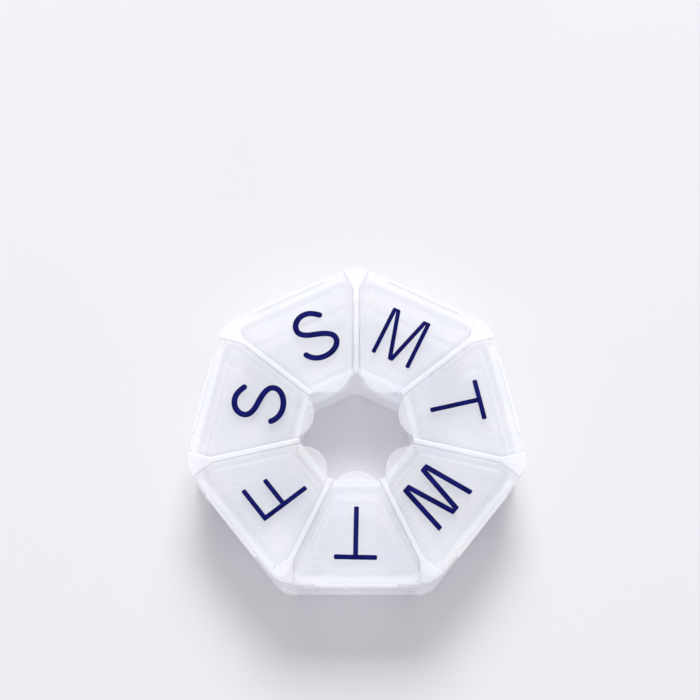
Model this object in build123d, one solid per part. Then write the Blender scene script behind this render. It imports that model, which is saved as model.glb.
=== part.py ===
from build123d import *
import os
from math import cos, radians, sin, tan

# Weekly pill box: a seven-sided ring of pill wells round an open hub, with one hinged lid over each well.
# Millimetres. The origin is on the resting face under the middle of the ring, +Z is up, and -Y is the front,
# where the middle of the Thursday lid is.

# Ring
days = ["sunday", "monday", "tuesday", "wednesday", "thursday", "friday", "saturday"]
step_angle = 360 / len(days)
half_angle = step_angle / 2
first_angle = 90 + half_angle
flat_reach = 35.5
corner_round = 6.0
total_height = 18.0
outer_draft = 4.0
foot_round = 1.0

# Walls of the tray
outer_wall = 1.6
hub_wall = 1.2
floor_thickness = 1.3
rib_width = 1.15
hub_reach = 11.9
hub_round = 1.4
rim_height = 2.5
well_draft = 2.0
well_round = 2.2
well_floor_round = 1.4
least_round = 0.2
corner_share = 0.75
rib_edge_round = 0.2
post_margin = 0.6

# Lids
lid_thickness = 1.3
lid_gap = 0.3
lid_edge_round = 0.35
lid_bend_round = 1.0
lid_corner_round = 0.7
skirt_clearance = 0.45
skirt_thickness = 1.1
skirt_depth = 1.8

# Catch bead on the hub side of each skirt
bead_radius = 0.3
bead_proud = 0.2
bead_length = 5.0
bead_drop = 1.2

# Thumb tab on the hub side of each lid
tab_side_margin = 0.55
tab_reach = 2.0
tab_lift = 0.15
tab_thickness = 0.7
tab_rim_width = 0.6
tab_rim_thickness = 1.0

# Raised braille initials
dot_pitch = 2.1
dot_radius = 0.7
dot_height = 0.4
cell_edge_margin = 6.3
cell_side = 8.0
braille = {
    "sunday": [2, 3, 4],
    "monday": [1, 3, 4],
    "tuesday": [2, 3, 4, 5],
    "wednesday": [2, 4, 5, 6],
    "thursday": [2, 3, 4, 5],
    "friday": [1, 2, 4],
    "saturday": [2, 3, 4],
}

# Living hinges: thin webs that loop round the joint between a lid's outer edge and the tray
web_inner_radius = 0.25
web_thickness = 0.3
web_length = 18.0

# Worked out from the dimensions above
part_z = total_height - lid_thickness
rim_z = part_z - rim_height
slope = tan(radians(half_angle))
rib_offset = rib_width / 2 / cos(radians(half_angle))
lid_offset = (rib_width / 2 + lid_gap) / cos(radians(half_angle))
lid_outer_half = (flat_reach - corner_round) * slope - post_margin
lid_hub_half = hub_reach * slope - lid_offset
well_depth = part_z - floor_thickness


def lid_turn(index):
    # Turns a piece drawn along +X, with +Y round the ring, to the place of its day.
    return Rot(0, 0, first_angle - index * step_angle)


def ring_outline(reach, radius):
    corner = reach / cos(radians(half_angle))
    angles = [radians(90 + step_angle * index) for index in range(len(days))]
    outline = Polygon(*[(corner * cos(a), corner * sin(a)) for a in angles], align=None)
    return fillet(outline.vertices(), radius)


def post_bend(offset, half_width):
    # How far out a slice of the ring stops widening with the ribs and runs straight past the corner posts.
    return (half_width + offset) / slope


def wedge_outline(inner, outer, offset, half_width):
    # A slice of the ring between two ribs. Near its outer edge the corner posts hold it to half_width.
    bend = post_bend(offset, half_width)
    inner_half = inner * slope - offset
    lower = [(inner, -inner_half), (bend, -half_width), (outer, -half_width)]
    upper = [(x, -y) for x, y in reversed(lower)]
    return Polygon(*lower, *upper, align=None)


def well_outline(inset):
    # The mouth of a well, or a parallel outline that lies inset from its walls.
    outer = flat_reach - outer_wall - inset
    offset = rib_offset + inset / cos(radians(half_angle))
    half_width = lid_outer_half + lid_gap - inset
    outline = wedge_outline(hub_reach + hub_wall + inset, outer, offset, half_width)
    post_side = outer - post_bend(offset, half_width)
    radius = min(well_round - inset, corner_share * post_side)
    return fillet(outline.vertices(), max(radius, least_round))


def make_well():
    mouth = Pos(0, 0, part_z) * well_outline(0)
    well = extrude(mouth, amount=well_depth, dir=(0, 0, -1), taper=well_draft)
    floor_corner = well_round - well_depth * tan(radians(well_draft))
    floor_round = min(well_floor_round, floor_corner - least_round)
    return fillet(well.edges().group_by(Axis.Z)[0], floor_round)


def make_seat():
    # The space above a well in which its lid lies. It runs past the outer side and into the hub.
    outline = wedge_outline(hub_reach / 2, flat_reach + outer_wall, rib_offset, lid_outer_half + lid_gap)
    outline = fillet(outline.vertices().group_by(Axis.X)[1], lid_bend_round)
    return extrude(Pos(0, 0, part_z) * outline, amount=2 * lid_thickness)


def make_tray():
    outline = Pos(0, 0, rim_z) * ring_outline(flat_reach, corner_round)
    lower = extrude(outline, amount=rim_z, dir=(0, 0, -1), taper=outer_draft)
    lower = fillet(lower.edges().group_by(Axis.Z)[0], foot_round)
    upper = extrude(outline, amount=total_height - rim_z)
    hole = extrude(
        Pos(0, 0, total_height) * ring_outline(hub_reach, hub_round),
        amount=total_height,
        dir=(0, 0, -1),
        taper=-well_draft,
    )
    tray = lower + upper - hole
    for index in range(len(days)):
        tray -= lid_turn(index) * make_seat()
    tray = fillet(tray.edges().group_by(Axis.Z)[-1], rib_edge_round)
    for index in range(len(days)):
        tray -= lid_turn(index) * make_well()
    return tray


def make_plate():
    outline = wedge_outline(hub_reach, flat_reach, lid_offset, lid_outer_half)
    outline = fillet(outline.vertices().group_by(Axis.X)[1], lid_bend_round)
    outline = fillet(outline.vertices().group_by(Axis.X)[0], lid_corner_round)
    outline = fillet(outline.vertices().group_by(Axis.X)[-1], lid_corner_round)
    plate = extrude(Pos(0, 0, part_z) * outline, amount=lid_thickness)
    return fillet(plate.edges().group_by(Axis.Z)[-1], lid_edge_round)


def make_skirt():
    ring = well_outline(skirt_clearance) - well_outline(skirt_clearance + skirt_thickness)
    skirt = extrude(Pos(0, 0, part_z) * ring, amount=-skirt_depth)
    hub_face = hub_reach + hub_wall + skirt_clearance
    bead = Cylinder(bead_radius, bead_length, rotation=(90, 0, 0))
    return skirt + Pos(hub_face + bead_radius - bead_proud, 0, part_z - bead_drop) * bead


def make_tab():
    # A leaf with an arched edge and a thicker rim along it. Its root runs a little way into the plate.
    half_chord = lid_hub_half - tab_side_margin
    radius = (half_chord**2 + tab_reach**2) / (2 * tab_reach)
    centre = Pos(hub_reach - tab_reach + radius, 0)
    root_x = hub_reach + lid_edge_round
    plate_side = Pos(root_x + radius, 0) * Rectangle(2 * radius, 2 * radius)
    leaf = centre * Circle(radius) - plate_side
    rim = leaf - centre * Circle(radius - tab_rim_width)
    base = Pos(0, 0, part_z + tab_lift)
    return extrude(base * leaf, amount=tab_thickness) + extrude(base * rim, amount=tab_rim_thickness)


def dot_place(number):
    # Dots 1 to 3 run down the left column of the cell and 4 to 6 down the right one, seen with outward as up.
    column = 0 if number <= 3 else 1
    row = (number - 1) % 3
    reach = flat_reach - cell_edge_margin + (1 - row) * dot_pitch
    side = cell_side + (column - 0.5) * dot_pitch
    return reach, -side


def make_dot():
    ball_radius = (dot_radius**2 + dot_height**2) / (2 * dot_height)
    ball = Pos(0, 0, dot_height - ball_radius) * Sphere(ball_radius)
    return split(ball, bisect_by=Plane.XY, keep=Keep.TOP)


def make_lid(day):
    lid = make_plate() + make_skirt() + make_tab()
    for number in braille[day]:
        reach, side = dot_place(number)
        lid += Pos(reach, side, total_height) * make_dot()
    return lid


def make_web():
    outer_radius = web_inner_radius + web_thickness
    inside = Pos(-outer_radius, 0) * Rectangle(2 * outer_radius, 2 * outer_radius)
    section = Circle(outer_radius) - Circle(web_inner_radius) - inside
    return Pos(flat_reach, 0, part_z) * extrude(Plane.XZ * section, amount=web_length / 2, both=True)


def write_node(name, shape):
    shape.label = name
    export_step(shape, f"parts/{name}.step")


os.makedirs("parts", exist_ok=True)
write_node("tray", make_tray())
for day_index, day_name in enumerate(days):
    write_node(f"lid_{day_name}", lid_turn(day_index) * make_lid(day_name))
    write_node(f"hinge_{day_name}", lid_turn(day_index) * make_web())
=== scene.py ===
from math import cos, pi, radians, sin

import bpy
from mathutils import Matrix, Vector


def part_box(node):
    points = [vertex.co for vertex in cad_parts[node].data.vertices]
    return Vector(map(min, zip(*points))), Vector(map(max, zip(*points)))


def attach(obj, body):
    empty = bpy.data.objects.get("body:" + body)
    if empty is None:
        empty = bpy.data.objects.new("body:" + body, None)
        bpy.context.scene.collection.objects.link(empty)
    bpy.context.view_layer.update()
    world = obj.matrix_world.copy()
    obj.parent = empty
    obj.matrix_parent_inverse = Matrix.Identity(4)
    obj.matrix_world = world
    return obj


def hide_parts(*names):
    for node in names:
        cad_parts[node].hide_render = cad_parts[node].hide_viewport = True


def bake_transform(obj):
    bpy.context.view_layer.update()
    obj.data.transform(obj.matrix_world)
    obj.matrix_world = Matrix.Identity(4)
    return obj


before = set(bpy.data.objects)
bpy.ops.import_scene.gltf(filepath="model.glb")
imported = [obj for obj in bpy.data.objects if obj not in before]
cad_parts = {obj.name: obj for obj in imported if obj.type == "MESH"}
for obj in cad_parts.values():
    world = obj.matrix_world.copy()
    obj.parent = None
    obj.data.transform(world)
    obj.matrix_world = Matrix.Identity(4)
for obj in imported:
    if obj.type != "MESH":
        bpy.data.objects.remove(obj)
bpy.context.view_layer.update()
mm = 0.001
days = ["sunday", "monday", "tuesday", "wednesday", "thursday", "friday", "saturday"]
dayStep = 360 / len(days)
firstAngle = 90 + dayStep / 2
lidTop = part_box("tray")[1].z / mm  # the lids lie flush with the tray's ribs
smoothAngle = radians(35)
weldGap = 1e-7  # m, points of a finished piece that lie closer than this are one
print("frame loaded:", len(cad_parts), "nodes")


def dayAngle(day):
    # direction from the hub to the middle of the day's lid, degrees from +X
    return firstAngle - days.index(day) * dayStep


def linear(hexColour):
    # sRGB hex to the linear colour the shaders work in
    parts = [int(hexColour[i : i + 2], 16) / 255 for i in (1, 3, 5)]
    return [p / 12.92 if p <= 0.04045 else ((p + 0.055) / 1.055) ** 2.4 for p in parts] + [1.0]


def addNode(tree, kind, settings=None, links=None):
    # settings: attributes and socket values by name, links: input name to an output socket
    node = tree.nodes.new(kind)
    for name, value in (settings or {}).items():
        if hasattr(node, name):
            setattr(node, name, value)
        else:
            node.inputs[name].default_value = value
    for name, output in (links or {}).items():
        tree.links.new(output, node.inputs[name])
    return node


# Materials

trayFinish = {
    "clear": "#F7F9FF",
    "cloudy": "#FFFFFF",
    "cloudSize": 7.0,  # mm, milky patches where the melt cooled slower
    "cloudDetail": 3.0,
    "cloudFade": 0.55,
    "clearUpTo": 0.32,  # shares of the cloud pattern where the tint starts and stops changing
    "cloudyFrom": 0.68,
    "grain": 0.45,  # mm, the real spark-eroded grain is near 0.1 and would not show
    "grainDetail": 2.0,
    "grainFade": 0.6,
    "grainDepth": 0.012,  # mm
    "grainStrength": 0.6,
    "ior": 1.49,
    "roughLow": 0.20,
    "roughHigh": 0.30,
    "shine": 1.0,  # twice the plain level, because the veil thins the highlights too
    "veil": 0.42,  # share of the light that one skin of the frosted plastic stops and scatters
}
lidFinish = dict(trayFinish, clear="#F5F8FF", grain=0.40, roughLow=0.18, roughHigh=0.28, veil=0.19)
hingeFinish = dict(trayFinish, clear="#FAFBFF", cloudSize=1.2, grain=0.3, veil=0.55)


def frostedPolypropylene(name, finish):
    # Polypropylene, injection moulded in an eroded mould: milky, see-through close up, soft highlights
    material = bpy.data.materials.new(name)
    material.use_nodes = True
    tree = material.node_tree
    tree.nodes.clear()
    place = addNode(tree, "ShaderNodeTexCoord")
    cloud = addNode(
        tree,
        "ShaderNodeTexNoise",
        {
            "Scale": 1 / (finish["cloudSize"] * mm),
            "Detail": finish["cloudDetail"],
            "Roughness": finish["cloudFade"],
        },
        {"Vector": place.outputs["Object"]},
    )
    tint = addNode(tree, "ShaderNodeValToRGB", None, {"Fac": cloud.outputs["Fac"]})
    clear, cloudy = tint.color_ramp.elements
    clear.position = finish["clearUpTo"]
    clear.color = linear(finish["clear"])
    cloudy.position = finish["cloudyFrom"]
    cloudy.color = linear(finish["cloudy"])
    grain = addNode(
        tree,
        "ShaderNodeTexNoise",
        {
            "Scale": 1 / (finish["grain"] * mm),
            "Detail": finish["grainDetail"],
            "Roughness": finish["grainFade"],
        },
        {"Vector": place.outputs["Object"]},
    )
    rough = addNode(
        tree,
        "ShaderNodeMapRange",
        {"To Min": finish["roughLow"], "To Max": finish["roughHigh"]},
        {"Value": grain.outputs["Fac"]},
    )
    bump = addNode(
        tree,
        "ShaderNodeBump",
        {"Strength": finish["grainStrength"], "Distance": finish["grainDepth"] * mm},
        {"Height": grain.outputs["Fac"]},
    )
    surface = addNode(
        tree,
        "ShaderNodeBsdfPrincipled",
        {"IOR": finish["ior"], "Specular IOR Level": finish["shine"], "Alpha": finish["veil"]},
        {
            "Base Color": tint.outputs["Color"],
            "Roughness": rough.outputs["Result"],
            "Normal": bump.outputs["Normal"],
        },
    )
    addNode(tree, "ShaderNodeOutputMaterial", None, {"Surface": surface.outputs["BSDF"]})
    return material


inkFinish = {
    "deep": "#060846",
    "thin": "#0D1160",
    "patch": 2.2,  # mm, where the pad left more or less ink
    "patchDetail": 3.0,
    "deepUpTo": 0.3,  # shares of the patch pattern where the tint starts and stops changing
    "thinFrom": 0.7,
    "speck": 0.25,  # mm
    "speckDetail": 2.0,
    "speckDepth": 0.006,  # mm
    "speckStrength": 0.5,
    "ior": 1.5,
    "roughLow": 0.48,
    "roughHigh": 0.68,
    "shine": 0.05,
}


def stampedInk(name):
    # Pad-printed solvent ink: opaque, nearly matt, thickness wanders over a stroke
    material = bpy.data.materials.new(name)
    material.use_nodes = True
    tree = material.node_tree
    tree.nodes.clear()
    place = addNode(tree, "ShaderNodeTexCoord")
    patch = addNode(
        tree,
        "ShaderNodeTexNoise",
        {"Scale": 1 / (inkFinish["patch"] * mm), "Detail": inkFinish["patchDetail"]},
        {"Vector": place.outputs["Object"]},
    )
    tint = addNode(tree, "ShaderNodeValToRGB", None, {"Fac": patch.outputs["Fac"]})
    deep, thin = tint.color_ramp.elements
    deep.position = inkFinish["deepUpTo"]
    deep.color = linear(inkFinish["deep"])
    thin.position = inkFinish["thinFrom"]
    thin.color = linear(inkFinish["thin"])
    speck = addNode(
        tree,
        "ShaderNodeTexNoise",
        {"Scale": 1 / (inkFinish["speck"] * mm), "Detail": inkFinish["speckDetail"]},
        {"Vector": place.outputs["Object"]},
    )
    rough = addNode(
        tree,
        "ShaderNodeMapRange",
        {"To Min": inkFinish["roughLow"], "To Max": inkFinish["roughHigh"]},
        {"Value": speck.outputs["Fac"]},
    )
    bump = addNode(
        tree,
        "ShaderNodeBump",
        {"Strength": inkFinish["speckStrength"], "Distance": inkFinish["speckDepth"] * mm},
        {"Height": speck.outputs["Fac"]},
    )
    surface = addNode(
        tree,
        "ShaderNodeBsdfPrincipled",
        {"IOR": inkFinish["ior"], "Specular IOR Level": inkFinish["shine"]},
        {
            "Base Color": tint.outputs["Color"],
            "Roughness": rough.outputs["Result"],
            "Normal": bump.outputs["Normal"],
        },
    )
    addNode(tree, "ShaderNodeOutputMaterial", None, {"Surface": surface.outputs["BSDF"]})
    return material


trayPlastic = frostedPolypropylene("frostedPolypropyleneTray", trayFinish)
lidPlastic = frostedPolypropylene("frostedPolypropyleneLid", lidFinish)
hingePlastic = frostedPolypropylene("foldedPolypropyleneHinge", hingeFinish)
ink = stampedInk("navyPadInk")


def dress(piece, material):
    piece.data.materials.clear()
    piece.data.materials.append(material)


for slot in bpy.data.objects["tray"].material_slots:
    slot.material = trayPlastic
for day in days:
    for slot in bpy.data.objects["lid_" + day].material_slots:
        slot.material = lidPlastic
print("mouldings dressed")


# Living hinges

hinge = {
    "reach": 35.5,  # mm, flat outer side of the tray
    "lidThickness": 1.3,  # mm, the lid parts from the tray this far below its top
    "foldRadius": 0.40,  # mm, middle of the film
    "film": 0.30,  # mm, thickness where it leaves the lid and the tray
    "waist": 0.70,  # share of that left along the fold line
    "length": 18.0,  # mm
    "rootDepth": 0.05,  # mm, how far the film runs into the mouldings
    "foldSteps": 18,
    "lengthSteps": 24,
    "endRound": 0.09,  # mm
    "endSteps": 2,
    "endAngle": 60,  # degrees, only sharper edges are rounded
    "turnHalf": 0.55,  # mm below and above the fold; on the real hinge this stretch bends as the lid opens
}


def selectNone():
    if bpy.context.object and bpy.context.object.mode != "OBJECT":
        bpy.ops.object.mode_set(mode="OBJECT")
    bpy.ops.object.select_all(action="DESELECT")


def applyModifier(piece, kind, **settings):
    bpy.context.view_layer.objects.active = piece
    modifier = piece.modifiers.new(kind.lower(), kind)
    for name, value in settings.items():
        setattr(modifier, name, value)
    bpy.ops.object.modifier_apply(modifier=modifier.name)


def foldedHinge():
    # a strip spun round the fold from the tray's edge to the lid's edge, then given its thickness
    selectNone()
    fold = (lidTop - hinge["lidThickness"]) * mm
    radius = hinge["foldRadius"] * mm
    root = hinge["rootDepth"] * mm
    length = hinge["length"] * mm
    rootX = hinge["reach"] * mm
    bpy.ops.mesh.primitive_grid_add(x_subdivisions=1, y_subdivisions=hinge["lengthSteps"], size=length)
    web = bpy.context.object
    bpy.ops.object.mode_set(mode="EDIT")
    bpy.ops.transform.resize(value=(root / length, 1, 1))
    bpy.ops.transform.translate(value=(rootX - root / 2, 0, fold - radius))
    bpy.ops.mesh.select_all(action="DESELECT")
    bpy.ops.object.mode_set(mode="OBJECT")
    for edge in web.data.edges:
        edge.select = all(web.data.vertices[i].co.x > rootX - root / 2 for i in edge.vertices)
    bpy.ops.object.mode_set(mode="EDIT")
    bpy.ops.mesh.select_mode(type="EDGE")
    bpy.ops.mesh.spin(
        steps=hinge["foldSteps"], angle=pi, center=(rootX, 0, fold), axis=(0, 1, 0), dupli=False
    )
    bpy.ops.mesh.extrude_region_move(TRANSFORM_OT_translate={"value": (-root, 0, 0)})
    bpy.ops.mesh.select_all(action="SELECT")
    bpy.ops.mesh.remove_doubles(threshold=weldGap)
    bpy.ops.mesh.normals_make_consistent(inside=False)
    bpy.ops.object.mode_set(mode="OBJECT")
    thick = web.vertex_groups.new(name="thick")
    for vertex in web.data.vertices:
        fromFold = abs(vertex.co.z - fold) / radius  # 0 at the fold, 1 at the roots
        thick.add([vertex.index], hinge["waist"] + (1 - hinge["waist"]) * fromFold**2, "REPLACE")
    applyModifier(
        web,
        "SOLIDIFY",
        thickness=hinge["film"] * mm,
        offset=0,
        vertex_group="thick",
        use_even_offset=True,
    )
    applyModifier(
        web,
        "BEVEL",
        width=hinge["endRound"] * mm,
        segments=hinge["endSteps"],
        limit_method="ANGLE",
        angle_limit=radians(hinge["endAngle"]),
    )
    web.vertex_groups.clear()
    bpy.ops.object.shade_smooth_by_angle(angle=smoothAngle)
    dress(web, hingePlastic)
    return web


def copyToDay(master, name, turn, before=Matrix()):
    # before: what is done to the mesh before it is turned to its day
    piece = master.copy()
    piece.data = master.data.copy()
    piece.name = name
    piece.data.transform(Matrix.Rotation(radians(turn), 4, "Z") @ before)
    bpy.context.scene.collection.objects.link(piece)
    return piece


masterWeb = foldedHinge()
for day in days:
    web = copyToDay(masterWeb, "hingeWeb_" + day, dayAngle(day))
    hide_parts("hinge_" + day)
    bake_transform(web)
bpy.data.objects.remove(masterWeb)
print("living hinges folded")


# Printed initials, drawn in mm with the hub below and the lid's hinge above, then set on each lid

initial = {
    "low": 17.5,  # mm from the middle of the ring to the foot of a letter
    "high": 29.5,  # mm, to its head
    "stroke": {"S": 1.34, "M": 0.98, "T": 1.1, "W": 1.2, "F": 1.08},
    "cornerRound": 0.3,  # mm, ink draws back from the corners of a stroke
    "cornerSteps": 4,
    "film": 0.04,
    "sink": 0.01,  # mm of the film that lies in the grain of the lid
    "edgeRound": 0.012,
    "edgeSteps": 2,
    "edgeAngle": 40,  # degrees, only sharper edges are rounded
    "flatAngle": 1,  # degrees, faces that differ less are merged
    "cutGap": 1e-6,  # m, points left by the cuts that lie closer than this are one
    "curveSteps": 16,
    "discSides": 40,
    "byDay": "SMTWTFS",
    # where the pad landed off the middle of the lid: mm right, mm up, degrees anticlockwise
    "astray": {
        "sunday": (0.75, 0.45, 0.0),
        "monday": (-0.15, 0.3, 0.0),
        "tuesday": (-0.3, -0.3, 0.0),
        "wednesday": (0.8, -0.25, -1.4),
        "thursday": (0.1, 0.65, -1.2),
        "friday": (-0.55, -0.2, -0.6),
        "saturday": (0.55, -0.8, 2.8),
    },
}
foot = initial["low"]
head = initial["high"]
overrun = 1.0  # mm, the strokes of M and W run past both ends and are cut level there
barT = head - initial["stroke"]["T"] / 2
barF = head - initial["stroke"]["F"] / 2
bars = {
    "T": [((-4.75, barT), (4.75, barT)), ((0, foot), (0, barT))],
    "F": [((-3.2, foot), (-3.2, head)), ((-3.2, barF), (4.9, barF)), ((-3.2, 23.75), (3.9, 23.75))],
    "M": [((-4.15, foot), (-4.15, head)), ((4.35, foot), (4.35, head)), ((-3.35, head), (0.01, foot)),
          ((3.55, head), (0.19, foot))],
    "W": [((-5.1, head), (-3.2, foot)), ((-0.15, head), (-2.4, foot)), ((0.75, head), (3.0, foot)),
          ((5.7, head), (3.8, foot))],
}
# points of the S with the handles before and after each
sCurve = [
    ((4.2, 26.8), (3.35, 27.55), (2.55, 28.25)),
    ((1.6, 29.1), (0.15, 29.1), (-1.6, 29.1)),
    ((-3.0, 27.85), (-3.0, 26.35), (-3.0, 25.0)),
    ((-1.6, 24.3), (0.3, 23.75), (2.5, 23.1)),
    ((4.35, 22.4), (4.35, 20.85), (4.35, 19.3)),
    ((2.5, 18.0), (0.25, 18.0), (-1.6, 18.0)),
    ((-2.9, 19.0), (-3.5, 20.05), (-3.85, 20.7)),
]


def inkBar(start, end, stroke, past):
    # one straight stroke as a low block
    first = Vector(start)
    last = Vector(end)
    along = (last - first).normalized()
    first -= along * past
    last += along * past
    middle = (first + last) / 2
    base = lidTop - initial["sink"]
    bpy.ops.mesh.primitive_cube_add(size=mm, location=(0, 0, 0))
    bar = bpy.context.object
    bpy.ops.object.mode_set(mode="EDIT")
    thick = initial["film"] + initial["sink"]
    bpy.ops.transform.resize(value=((last - first).length, stroke, thick))
    bpy.ops.object.mode_set(mode="OBJECT")
    turn = Matrix.Rotation(along.angle_signed(Vector((1, 0))), 4, "Z")
    lift = base + thick / 2
    bar.data.transform(Matrix.Translation(Vector((middle.x, middle.y, lift)) * mm) @ turn)
    return bar


def roundCorners(piece):
    # bevels the upright edges at which the outline of a letter turns outwards
    bpy.ops.mesh.select_all(action="DESELECT")
    bpy.ops.mesh.select_mode(type="EDGE")
    bpy.ops.object.mode_set(mode="OBJECT")
    points = piece.data.vertices
    sides = {}
    for face in piece.data.polygons:
        for key in face.edge_keys:
            sides.setdefault(key, []).append(face)
    for edge in piece.data.edges:
        along = points[edge.vertices[1]].co - points[edge.vertices[0]].co
        one, other = sides[edge.key]
        turnsOut = (other.center - one.center).dot(one.normal) < 0
        edge.select = abs(along.z) > along.xy.length and turnsOut
    bpy.ops.object.mode_set(mode="EDIT")
    bpy.ops.mesh.bevel(
        offset=initial["cornerRound"] * mm, segments=initial["cornerSteps"], affect="EDGES"
    )


def straightInitial(letter):
    selectNone()
    slanted = letter in "MW"
    stroke = initial["stroke"][letter]
    blocks = [inkBar(start, end, stroke, overrun if slanted else 0) for start, end in bars[letter]]
    piece = blocks[0]
    for other in blocks[1:]:
        applyModifier(piece, "BOOLEAN", operation="UNION", solver="EXACT", object=other)
        bpy.data.objects.remove(other)
    selectNone()
    piece.select_set(True)
    bpy.context.view_layer.objects.active = piece
    bpy.ops.object.mode_set(mode="EDIT")
    for level, way in ((foot, -1), (head, 1)) if slanted else ():
        bpy.ops.mesh.select_all(action="SELECT")
        bpy.ops.mesh.bisect(
            plane_co=(0, level * mm, 0),
            plane_no=(0, way, 0),
            use_fill=True,
            clear_outer=True,
            threshold=weldGap,
        )
    bpy.ops.mesh.select_all(action="SELECT")
    bpy.ops.mesh.remove_doubles(threshold=initial["cutGap"])
    bpy.ops.mesh.dissolve_limited(angle_limit=radians(initial["flatAngle"]))
    bpy.ops.mesh.normals_make_consistent(inside=False)
    roundCorners(piece)
    bpy.ops.object.mode_set(mode="OBJECT")
    applyModifier(
        piece,
        "BEVEL",
        width=initial["edgeRound"] * mm,
        segments=initial["edgeSteps"],
        limit_method="ANGLE",
        angle_limit=radians(initial["edgeAngle"]),
    )
    return piece


def curvedInitial():
    # a flat ribbon along one smooth line, with a disc of ink at each end
    selectNone()
    thick = (initial["film"] + initial["sink"]) * mm
    halfStroke = initial["stroke"]["S"] / 2 * mm
    bpy.ops.curve.primitive_bezier_curve_add(location=(0, 0, 0))
    piece = bpy.context.object
    ribbon = piece.data
    ribbon.dimensions = "3D"
    ribbon.twist_mode = "Z_UP"
    ribbon.resolution_u = initial["curveSteps"]
    ribbon.bevel_depth = thick / 2
    ribbon.bevel_resolution = initial["edgeSteps"]
    ribbon.extrude = halfStroke - ribbon.bevel_depth
    ribbon.use_fill_caps = True
    line = ribbon.splines[0]
    line.bezier_points.add(len(sCurve) - 2)
    level = lidTop + (initial["film"] - initial["sink"]) / 2
    for point, (before, at, after) in zip(line.bezier_points, sCurve):
        point.handle_left_type = "FREE"
        point.handle_right_type = "FREE"
        point.co = Vector((*at, level)) * mm
        point.handle_left = Vector((*before, level)) * mm
        point.handle_right = Vector((*after, level)) * mm
        point.tilt = pi / 2
    bpy.ops.object.convert(target="MESH")
    piece = bpy.context.object
    bpy.ops.object.mode_set(mode="EDIT")
    bpy.ops.mesh.select_all(action="SELECT")
    bpy.ops.mesh.remove_doubles(threshold=weldGap)
    bpy.ops.mesh.normals_make_consistent(inside=False)
    bpy.ops.object.mode_set(mode="OBJECT")
    for end in (sCurve[0], sCurve[-1]):
        selectNone()
        bpy.ops.mesh.primitive_cylinder_add(
            vertices=initial["discSides"], radius=halfStroke, depth=thick
        )
        disc = bpy.context.object
        disc.data.transform(Matrix.Translation(Vector((*end[1], level)) * mm))
        applyModifier(piece, "BOOLEAN", operation="UNION", solver="EXACT", object=disc)
        bpy.data.objects.remove(disc)
    return piece


def padPlace(day):
    # moves a letter off the middle of its lid and turns it round its own middle
    right, up, turn = initial["astray"][day]
    middle = Vector((0, (foot + head) / 2, 0))
    landed = Matrix.Translation((middle + Vector((right, up, 0))) * mm)
    return landed @ Matrix.Rotation(radians(turn), 4, "Z") @ Matrix.Translation(-middle * mm)


inkedDot = {
    "day": "wednesday",  # the one letter with a raised braille dot in its way
    "right": 6.95,  # mm from the middle of the lid
    "up": 29.2,  # mm from the middle of the ring
    "radius": 0.7,
    "height": 0.4,
    "sides": 48,
    "rings": 24,
    "film": 0.005,  # mm, the pad presses the ink thin over the dot
    "stretch": 14,  # makes the film of the letter taller than the dot
}


def inkOverDot(piece):
    # the pad gives way to the dot, so the stroke runs on over it: a ball cut by the letter's outline
    selectNone()
    height = inkedDot["height"]
    dome = (inkedDot["radius"] ** 2 + height**2) / (2 * height)
    skin = (dome + inkedDot["film"]) * mm
    bpy.ops.mesh.primitive_uv_sphere_add(
        segments=inkedDot["sides"], ring_count=inkedDot["rings"], radius=skin
    )
    cap = bpy.context.object
    centre = Vector((inkedDot["right"], inkedDot["up"], lidTop + height - dome)) * mm
    turn = Matrix.Rotation(radians(dayAngle(inkedDot["day"]) - 90), 4, "Z")
    cap.data.transform(turn @ Matrix.Translation(centre))
    base = Matrix.Translation((0, 0, (lidTop - initial["sink"]) * mm))
    stretch = Matrix.Diagonal((1, 1, inkedDot["stretch"], 1))
    tall = copyToDay(piece, "tallLetter", 0, base @ stretch @ base.inverted())
    applyModifier(cap, "BOOLEAN", operation="INTERSECT", solver="EXACT", object=tall)
    applyModifier(piece, "BOOLEAN", operation="UNION", solver="EXACT", object=cap)
    bpy.data.objects.remove(tall)
    bpy.data.objects.remove(cap)


masterInitials = {letter: straightInitial(letter) for letter in bars}
masterInitials["S"] = curvedInitial()
for day, letter in zip(days, initial["byDay"]):
    piece = copyToDay(masterInitials[letter], "initial_" + day, dayAngle(day) - 90, padPlace(day))
    if day == inkedDot["day"]:
        inkOverDot(piece)
    selectNone()
    piece.select_set(True)
    bpy.context.view_layer.objects.active = piece
    bpy.ops.object.shade_smooth_by_angle(angle=smoothAngle)
    dress(piece, ink)
    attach(piece, "lid_" + day)
for piece in masterInitials.values():
    bpy.data.objects.remove(piece)
print("initials printed")


# Stage

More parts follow.
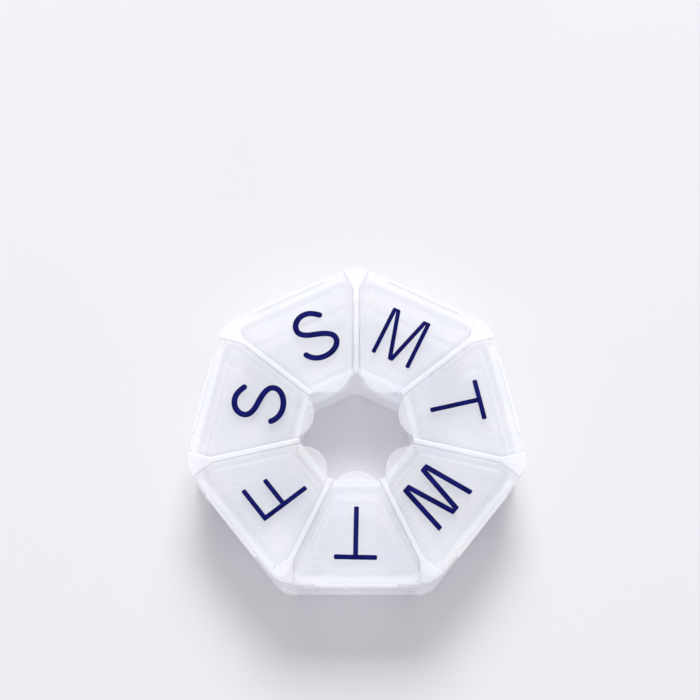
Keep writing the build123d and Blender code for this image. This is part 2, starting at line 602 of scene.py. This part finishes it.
studio = {
    "floor": "#DAD8DB",
    "floorDrop": 0.05,  # mm, keeps the floor apart from the foot of the tray
    "floorRough": 0.85,
    "floorSize": 3.0,  # m
    "dome": "#F9F9FF",
    "domeStrength": 0.60,
    "keyPower": 132.0,  # W, from the back and far off, so that the floor is lit evenly
    "keySize": 1.8,  # m
    "keyAt": (0.12, 2.64, 2.40),  # m
    "fillPower": 2.6,  # W, low and in front, lifts the front wall and hardly reaches the floor
    "fillSize": 0.26,
    "fillAt": (0.0, -1.20, 0.14),
    "cameraAt": (-1.42, -115.3, 406.6),  # mm
    "cameraTilt": 19.0,  # degrees
    "lens": 92.6,
    "sensor": 36.0,
    "nearClip": 0.01,  # m
    "skins": 40,  # see-through faces that light may cross
    "bounces": 12,
}


def setStage():
    selectNone()
    bpy.ops.mesh.primitive_plane_add(
        size=studio["floorSize"], location=(0, 0, -studio["floorDrop"] * mm)
    )
    floor = bpy.context.object
    floor.name = "floor"
    paper = bpy.data.materials.new("palePaper")
    paper.use_nodes = True
    base = paper.node_tree.nodes["Principled BSDF"]
    base.inputs["Base Color"].default_value = linear(studio["floor"])
    base.inputs["Roughness"].default_value = studio["floorRough"]
    dress(floor, paper)
    world = bpy.data.worlds.new("paleDome")
    world.use_nodes = True
    dome = world.node_tree.nodes["Background"]
    dome.inputs["Color"].default_value = linear(studio["dome"])
    dome.inputs["Strength"].default_value = studio["domeStrength"]
    bpy.context.scene.world = world
    for name in ("key", "fill"):
        place = Vector(studio[name + "At"])
        bpy.ops.object.light_add(type="AREA", location=place)
        lamp = bpy.context.object
        lamp.name = name
        lamp.data.size = studio[name + "Size"]
        lamp.data.energy = studio[name + "Power"]
        lamp.rotation_euler = (-place).to_track_quat("-Z", "Y").to_euler()
        lamp.visible_camera = False
    bpy.ops.object.camera_add(
        location=Vector(studio["cameraAt"]) * mm, rotation=(radians(studio["cameraTilt"]), 0, 0)
    )
    camera = bpy.context.object
    camera.data.lens = studio["lens"]
    camera.data.sensor_width = studio["sensor"]
    camera.data.clip_start = studio["nearClip"]
    bpy.context.scene.camera = camera
    bpy.context.scene.view_settings.view_transform = "Standard"
    # light has to pass both skins of every lid, skirt, rib and floor
    paths = bpy.context.scene.cycles
    paths.transparent_max_bounces = studio["skins"]
    paths.max_bounces = studio["bounces"]
    paths.diffuse_bounces = studio["bounces"]


setStage()
print("stage set")
